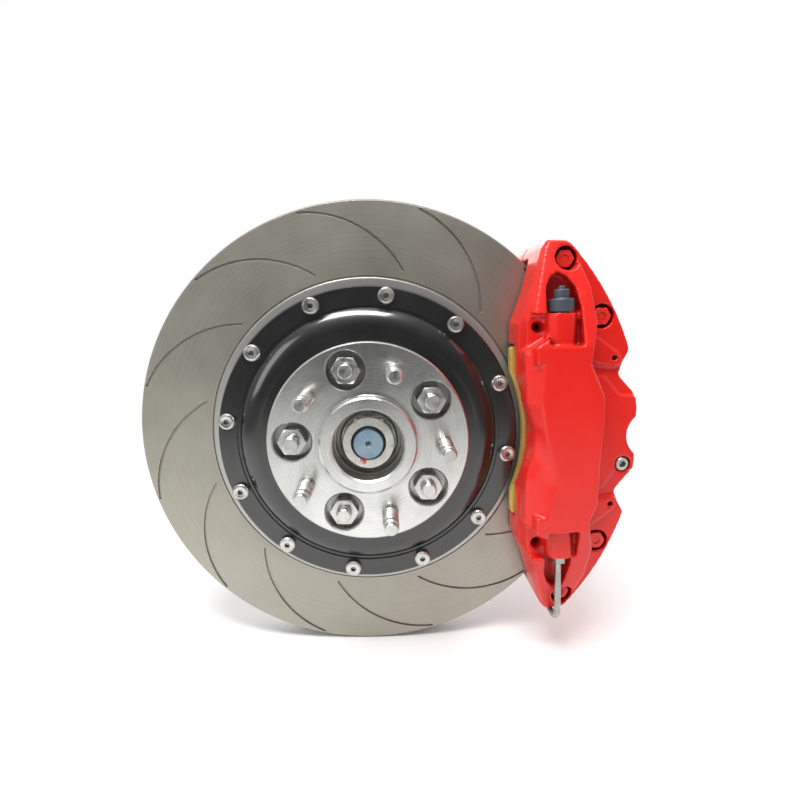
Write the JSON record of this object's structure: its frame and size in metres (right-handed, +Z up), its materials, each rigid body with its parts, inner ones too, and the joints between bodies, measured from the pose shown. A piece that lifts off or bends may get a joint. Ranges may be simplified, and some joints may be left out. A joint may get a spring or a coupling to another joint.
{
  "type": "brake caliper with disc",
  "caption": "Vented slotted brake disc on a black bolt-on hat and hub with a wheel spacer, gripped by a red fixed multi-piston caliper on its bracket.",
  "frame": {"origin": "centre of the wheel stud circle, on the outboard face of the wheel spacer where the wheel seats", "axes": "-Y outboard along the wheel axis, +X forward to the caliper, +Z up"},
  "size_m": [0.3838, 0.1566, 0.362],
  "materials": {
    "disc_iron": "satin",
    "hat_black": "satin",
    "plated_steel": "satin",
    "spacer_aluminium": "turned",
    "hub_steel": "satin",
    "bearing_steel": "polished",
    "seal_rubber": "matte",
    "bracket_aluminium": "satin",
    "caliper_red": "gloss",
    "bolt_red": "gloss",
    "pipe_steel": "satin",
    "cap_rubber": "matte",
    "pad_plate_yellow": "satin",
    "pad_friction": "matte",
    "shim_steel": "satin",
    "piston_aluminium": "satin",
    "spring_steel": "satin"
  },
  "bodies": {
    "caliper": {"bearing_housing": "hub_steel", "bearing_balls": "bearing_steel", "bearing_seal": "seal_rubber", "bearing_cap": "shim_steel", "caliper_bracket": "bracket_aluminium", "bracket_screws": "plated_steel", "bracket_bolts": "plated_steel", "bracket_washers": "plated_steel", "caliper_outer_half": "caliper_red", "caliper_inner_half": "caliper_red", "bridge_bolts": "bolt_red", "pad_pins": "plated_steel", "pin_clips": "spring_steel", "pad_spring": "spring_steel", "centre_stay": "plated_steel", "stay_screw": "plated_steel", "crossover_pipe": "pipe_steel", "pipe_nuts": "pipe_steel", "piston_seals": "seal_rubber", "dust_boots": "seal_rubber"},
    "rotor": {"brake_disc": "disc_iron", "disc_hat": "hat_black", "disc_bolts": "plated_steel", "disc_bolt_nuts": "plated_steel", "wheel_hub": "hub_steel", "hub_studs": "plated_steel", "hub_stud_nuts": "plated_steel", "wheel_spacer": "spacer_aluminium", "wheel_studs": "plated_steel", "axle_stub": "plated_steel", "axle_nut": "plated_steel", "bearing_inner_race": "bearing_steel"},
    "outer_pad": {"outer_pad_plate": "pad_plate_yellow", "outer_pad_lining": "pad_friction", "outer_pad_shim": "shim_steel"},
    "outer_piston_1": {"outer_piston_1": "piston_aluminium"},
    "outer_piston_2": {"outer_piston_2": "piston_aluminium"},
    "outer_piston_3": {"outer_piston_3": "piston_aluminium"},
    "inner_pad": {"inner_pad_plate": "pad_plate_yellow", "inner_pad_lining": "pad_friction", "inner_pad_shim": "shim_steel"},
    "inner_piston_1": {"inner_piston_1": "piston_aluminium"},
    "inner_piston_2": {"inner_piston_2": "piston_aluminium"},
    "inner_piston_3": {"inner_piston_3": "piston_aluminium"},
    "outer_bleed_screw": {"outer_bleed_screw": "plated_steel"},
    "outer_bleed_cap": {"outer_bleed_cap": "cap_rubber"},
    "inner_bleed_screw": {"inner_bleed_screw": "plated_steel"},
    "inner_bleed_cap": {"inner_bleed_cap": "cap_rubber"}
  },
  "joints": [
    {"name": "hub_spin", "type": "hinge", "parent": "caliper", "child": "rotor", "pos_m": [0, 0, 0], "axis": [0, -1, 0], "continuous": true},
    {"name": "outer_pad_slide", "type": "slide", "parent": "caliper", "child": "outer_pad", "axis": [0, 1, 0], "range_m": [-0.0015, 0.0004]},
    {"name": "outer_piston_1_slide", "type": "slide", "parent": "caliper", "child": "outer_piston_1", "axis": [0, 1, 0], "range_m": [-0.0015, 0.0004]},
    {"name": "outer_piston_2_slide", "type": "slide", "parent": "caliper", "child": "outer_piston_2", "axis": [0, 1, 0], "range_m": [-0.0015, 0.0004]},
    {"name": "outer_piston_3_slide", "type": "slide", "parent": "caliper", "child": "outer_piston_3", "axis": [0, 1, 0], "range_m": [-0.0015, 0.0004]},
    {"name": "inner_pad_slide", "type": "slide", "parent": "caliper", "child": "inner_pad", "axis": [0, -1, 0], "range_m": [-0.0015, 0.0004]},
    {"name": "inner_piston_1_slide", "type": "slide", "parent": "caliper", "child": "inner_piston_1", "axis": [0, -1, 0], "range_m": [-0.0015, 0.0004]},
    {"name": "inner_piston_2_slide", "type": "slide", "parent": "caliper", "child": "inner_piston_2", "axis": [0, -1, 0], "range_m": [-0.0015, 0.0004]},
    {"name": "inner_piston_3_slide", "type": "slide", "parent": "caliper", "child": "inner_piston_3", "axis": [0, -1, 0], "range_m": [-0.0015, 0.0004]},
    {"name": "outer_bleed_screw_turn", "type": "hinge", "parent": "caliper", "child": "outer_bleed_screw", "pos_m": [0.13606, -0.012, 0.09752], "axis": [-0.0471, 0, 0.9989], "range_deg": [0, 180]},
    {"name": "outer_bleed_cap_pull", "type": "slide", "parent": "outer_bleed_screw", "child": "outer_bleed_cap", "axis": [-0.0471, 0, 0.9989], "range_m": [0, 0.008]},
    {"name": "inner_bleed_screw_turn", "type": "hinge", "parent": "caliper", "child": "inner_bleed_screw", "pos_m": [0.13606, 0.106, 0.09752], "axis": [-0.0471, 0, 0.9989], "range_deg": [0, 180]},
    {"name": "inner_bleed_cap_pull", "type": "slide", "parent": "inner_bleed_screw", "child": "inner_bleed_cap", "axis": [-0.0471, 0, 0.9989], "range_m": [0, 0.008]}
  ],
  "couplings": [
    {"joint": "outer_piston_1_slide", "follows": "outer_pad_slide", "ratio": 1},
    {"joint": "outer_piston_2_slide", "follows": "outer_pad_slide", "ratio": 1},
    {"joint": "outer_piston_3_slide", "follows": "outer_pad_slide", "ratio": 1},
    {"joint": "inner_pad_slide", "follows": "outer_pad_slide", "ratio": 1},
    {"joint": "inner_piston_1_slide", "follows": "outer_pad_slide", "ratio": 1},
    {"joint": "inner_piston_2_slide", "follows": "outer_pad_slide", "ratio": 1},
    {"joint": "inner_piston_3_slide", "follows": "outer_pad_slide", "ratio": 1}
  ]
}
